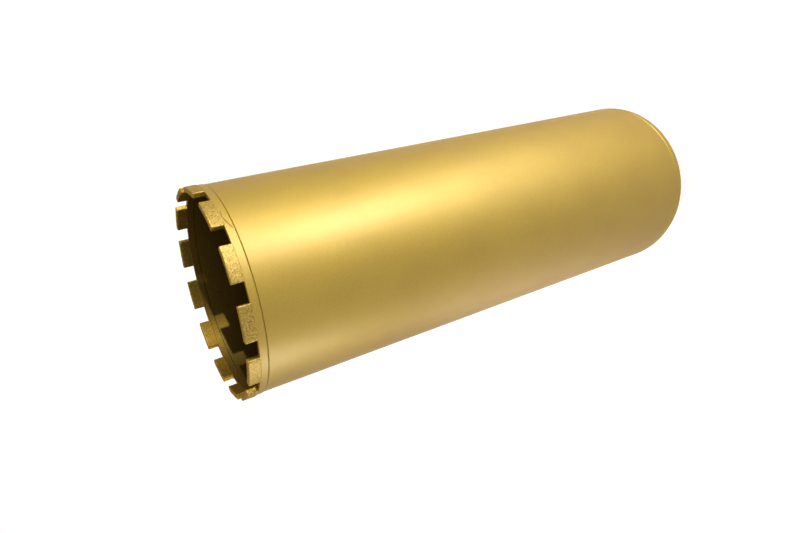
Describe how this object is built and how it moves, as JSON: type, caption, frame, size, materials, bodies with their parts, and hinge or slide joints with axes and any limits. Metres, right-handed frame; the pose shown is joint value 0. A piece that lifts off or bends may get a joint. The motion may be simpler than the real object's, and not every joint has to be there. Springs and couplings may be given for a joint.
{
  "type": "diamond core bit",
  "caption": "Thin-walled tubular core drill with a segmented abrasive crown, closed by a back plate and a threaded drive hub.",
  "frame": {"origin": "centre of the drive hub's end face, on the axis", "axes": "+Z along the axis from the drive hub to the cutting segments; +X through the middle of the first segment"},
  "size_m": [0.1517, 0.152, 0.4474],
  "materials": {
    "painted_steel": "satin gold metallic paint over rolled steel tube",
    "hub_steel": "satin gold metallic paint over turned steel, bare bright thread",
    "segment_matrix": "sintered abrasive matrix, grainy, thinly overpainted in gold"
  },
  "bodies": {
    "root": {"barrel": "painted_steel", "back_plate": "painted_steel", "crown_ring": "painted_steel", "drive_hub": "hub_steel", "segment_01": "segment_matrix", "segment_02": "segment_matrix", "segment_03": "segment_matrix", "segment_04": "segment_matrix", "segment_05": "segment_matrix", "segment_06": "segment_matrix", "segment_07": "segment_matrix", "segment_08": "segment_matrix", "segment_09": "segment_matrix", "segment_10": "segment_matrix", "segment_11": "segment_matrix", "segment_12": "segment_matrix", "segment_13": "segment_matrix"}
  },
  "joints": []
}
